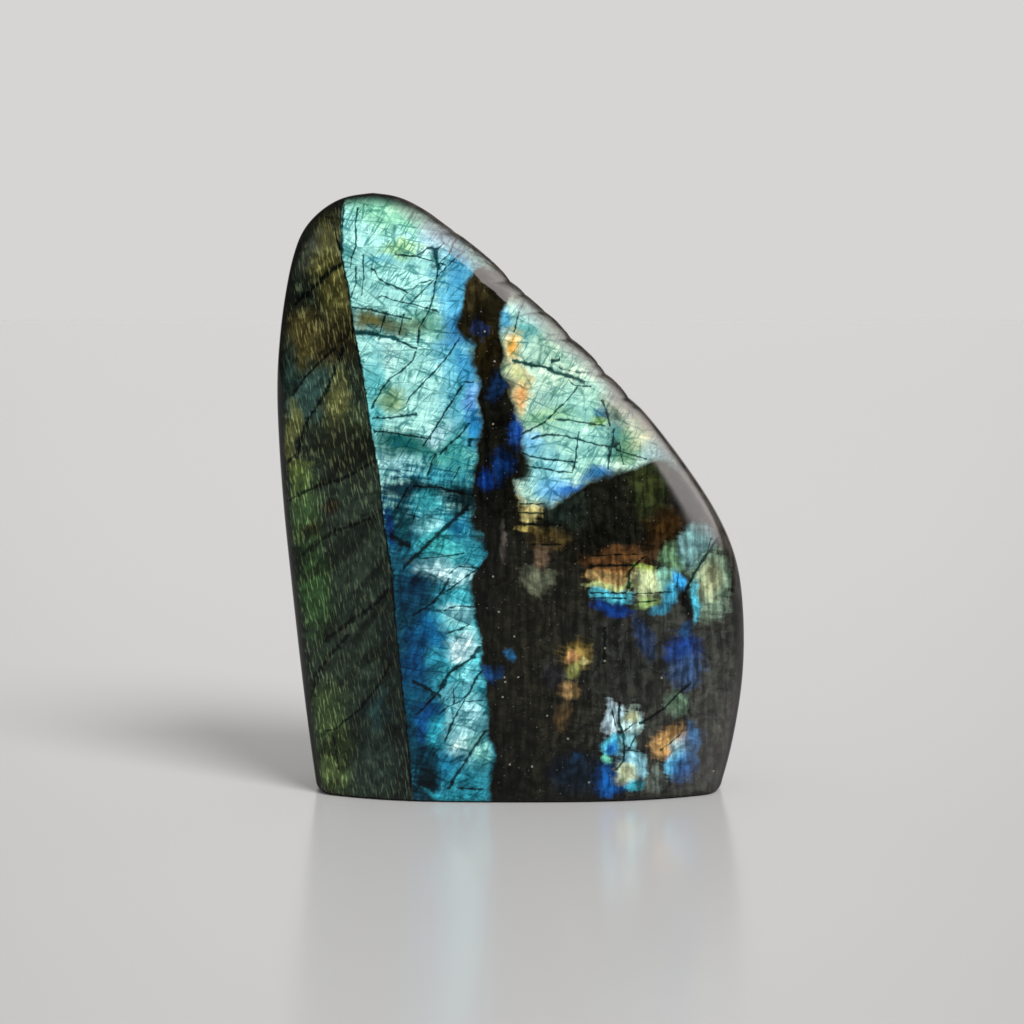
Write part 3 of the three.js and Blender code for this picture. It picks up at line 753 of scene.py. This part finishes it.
# The zones meet along their drawn edges: a sharp seam, and ragged sides of the dark band.
band_left = maths(tree, "SUBTRACT", drawn_edge(tree, glow_z, BAND_LEFT), glow_x)
band_right = maths(tree, "SUBTRACT", glow_x, drawn_edge(tree, glow_z, BAND_RIGHT))
field_foot = maths(tree, "SUBTRACT", glow_z, drawn_edge(tree, glow_x, FIELD_FOOT))
in_field = maths(tree, "MULTIPLY", ramp(tree, band_right, -0.8, 1.0), ramp(tree, field_foot, -1.2, 1.2))
front = mix_colours(tree, in_field, ground, field)
front = mix_colours(tree, ramp(tree, band_left, -0.9, 1.0), front, column)
seam = maths(tree, "SUBTRACT", drawn_edge(tree, line_z, SEAM), line_x)
front = mix_colours(tree, ramp(tree, seam, -0.15, 0.15), front, panel)

# The back: the same body and lines, with broad fields of flash of its own.
back_field = noise(tree, glow_flat, 0.032, 2.0)
back_ramp = add_node(tree, "ValToRGB", {"Fac": back_field})
stops = back_ramp.color_ramp.elements
for spot, code in BACK_STOPS:
    stops.new(spot).color = colour(code)
stops.remove(stops[0])
stops.remove(stops[-1])
back_lines = maths(tree, "MULTIPLY", line_share, 0.9)
back = mix_colours(tree, back_lines, shade(back_ramp.outputs[0], shimmer), LINE_TINT, "MULTIPLY")
back = mix_colours(tree, ramp(tree, seam, -0.15, 0.15), back, panel)

# The flash needs a face that looks along the stone's thin layers: it goes out towards the rim, where a painted
# rim shade takes its place, darkest on the rim and lighter on the sloping shoulder.
normal = add_node(tree, "NewGeometry").outputs["Normal"]
facing = add_node(tree, "SeparateXYZ", {"Vector": normal}).outputs["Y"]
back_share = ramp(tree, facing, -0.1, 0.1)
both = mix_colours(tree, back_share, front, back)
shoulder = vector_maths(tree, "DOT_PRODUCT", normal, EDGE_WAY)
body_noise = add_node(tree, "TexNoise", {"Vector": object_place, "Scale": 0.3 / MM, "Detail": 4.0})
on_shoulder = ramp(tree, shoulder, 0.55, 0.95)
# The painted rim shade, mottled a little by the body's noise.
painted_rim_shade = mix_colours(tree, on_shoulder, colour(RIM_SHADE_COLOUR), colour(SHOULDER_SHADE_COLOUR))
painted_rim_shade = scaled(tree, painted_rim_shade, ramp(tree, body_noise.outputs["Fac"], 0.35, 0.65, 0.45, 1.3))
# Painted shade: the colour darkens to the rim shade as the face turns away from front and back, and more on the
# sloping shoulder.
lit = ramp(tree, maths(tree, "ABSOLUTE", facing), 0.3, 0.8)
lit = maths(tree, "MULTIPLY", lit, ramp(tree, shoulder, 0.35, 0.75, 1.0, 0.4))
tree.links.new(mix_colours(tree, lit, painted_rim_shade, both), shader.inputs["Base Color"])

# The polish is smooth, with a faint unevenness, and dulls a little along the cracks.
POLISHED, DULLED = 0.07, 0.25
RELIEF_HEIGHT, RELIEF_STRENGTH = 0.05 * MM, 0.12
REFRACTION = 1.56
front_cracks = maths(tree, "MULTIPLY", crack_share, maths(tree, "SUBTRACT", 1.0, back_share))
polish = ramp(tree, front_cracks, 0, 1, POLISHED, DULLED)
tree.links.new(polish, shader.inputs["Roughness"])
relief = noise(tree, face, 0.25)
bump = add_node(tree, "Bump", {"Height": relief, "Strength": RELIEF_STRENGTH, "Distance": RELIEF_HEIGHT})
tree.links.new(bump.outputs[0], shader.inputs["Normal"])
shader.inputs["IOR"].default_value = REFRACTION
stone.data.materials.append(labradorite)

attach(stone, "root")
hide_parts("labradorite_stone")


# The floor: a pale, slightly glossy table top that the stone stands on. In the stone's polish it
# shows darker, which keeps the foot of the stone from paling.

FLOOR_HALF = 3
TABLE_COLOUR = (0.59, 0.58, 0.575, 1)
TABLE_IN_MIRROR = (0.17, 0.17, 0.17, 1)
TABLE_ROUGHNESS, TABLE_SPECULAR = 0.2, 0.5
floor_mesh = bpy.data.meshes.new("floor")
bm = bmesh.new()
bmesh.ops.create_grid(bm, x_segments=1, y_segments=1, size=FLOOR_HALF)
bm.to_mesh(floor_mesh)
bm.free()
floor = add_object("floor", floor_mesh)
pale = bpy.data.materials.new("pale table")
pale.use_nodes = True
pale_shader = pale.node_tree.nodes["Principled BSDF"]
in_mirror = add_node(pale.node_tree, "LightPath").outputs["Is Glossy Ray"]
paleness = mix_colours(pale.node_tree, in_mirror, TABLE_COLOUR, TABLE_IN_MIRROR)
pale.node_tree.links.new(paleness, pale_shader.inputs["Base Color"])
pale_shader.inputs["Roughness"].default_value = TABLE_ROUGHNESS
pale_shader.inputs["Specular IOR Level"].default_value = TABLE_SPECULAR
floor.data.materials.append(pale)


# The camera: it looks at the middle of the front from a little above, as the photograph does.

CAMERA_DISTANCE = 0.5277
CAMERA_ELEVATION = math.radians(6.5)
LOOKED_AT = Vector((0, 0, 60.85 * MM))
LENS, SENSOR = 85, 36
camera_data = bpy.data.cameras.new("camera")
camera_data.lens = LENS
camera_data.sensor_width = SENSOR
camera = add_object("camera", camera_data)
towards_camera = Vector((0, -math.cos(CAMERA_ELEVATION), math.sin(CAMERA_ELEVATION)))
camera.location = LOOKED_AT + CAMERA_DISTANCE * towards_camera
camera.rotation_euler = (math.radians(90) - CAMERA_ELEVATION, 0, 0)
bpy.context.scene.camera = camera


# The light: one large soft light from the upper right, and the pale room around.

KEY_POWER = 2.9
KEY_ANGLE = math.radians(27)
KEY_TILT, KEY_TURN = math.radians(43), math.radians(38)
key_data = bpy.data.lights.new("soft_key", "SUN")
key_data.energy = KEY_POWER
key_data.angle = KEY_ANGLE
key = add_object("soft_key", key_data)
key.rotation_euler = (KEY_TILT, 0, KEY_TURN)
key.visible_glossy = False

# What the polish mirrors: a dark room in front with a soft tall window on the right, and
# a pale wall behind the table. Each edge of the window fades in over two angles in degrees:
# to the right of straight ahead, and above level.
WINDOW_LEFT, WINDOW_RIGHT = (41, 46), (154, 98)
WINDOW_FOOT, WINDOW_HEAD = (12, 20), (88, 46)
WALL_EDGE = (0.9, 0.98)
DARK_ROOM = (0.02, 0.02, 0.02, 1)
WINDOW_LIGHT = (4.2, 3.9, 3.85, 1)
WALL_LIGHT = (0.7, 0.69, 0.68, 1)
ROOM_LIGHT = (0.44, 0.44, 0.44, 1)
BACKDROP = "d7d5d3"

world = bpy.data.worlds.new("studio")
bpy.context.scene.world = world
world.use_nodes = True
room = world.node_tree
way = add_node(room, "SeparateXYZ", {"Vector": add_node(room, "TexCoord").outputs["Generated"]}).outputs
away = maths(room, "MULTIPLY", way["Y"], -1)
to_right = maths(room, "ARCTAN2", way["X"], away)
above = maths(room, "ARCSINE", way["Z"])


def window_edge(angle, degrees):
    """Goes from 0 to 1 while the angle goes from the first of the two to the second."""
    return ramp(room, angle, *map(math.radians, degrees))


pane = maths(room, "MULTIPLY", window_edge(to_right, WINDOW_LEFT), window_edge(to_right, WINDOW_RIGHT))
pane = maths(room, "MULTIPLY", pane, window_edge(above, WINDOW_FOOT))
pane = maths(room, "MULTIPLY", pane, window_edge(above, WINDOW_HEAD))
mirrored = mix_colours(room, pane, DARK_ROOM, WINDOW_LIGHT)
mirrored = mix_colours(room, ramp(room, way["Y"], *WALL_EDGE), mirrored, WALL_LIGHT)
path = add_node(room, "LightPath").outputs
seen = mix_colours(room, path["Is Glossy Ray"], ROOM_LIGHT, mirrored)
seen = mix_colours(room, path["Is Camera Ray"], seen, colour(BACKDROP))
room.links.new(seen, room.nodes["Background"].inputs["Color"])
bpy.context.scene.view_settings.view_transform = "Standard"
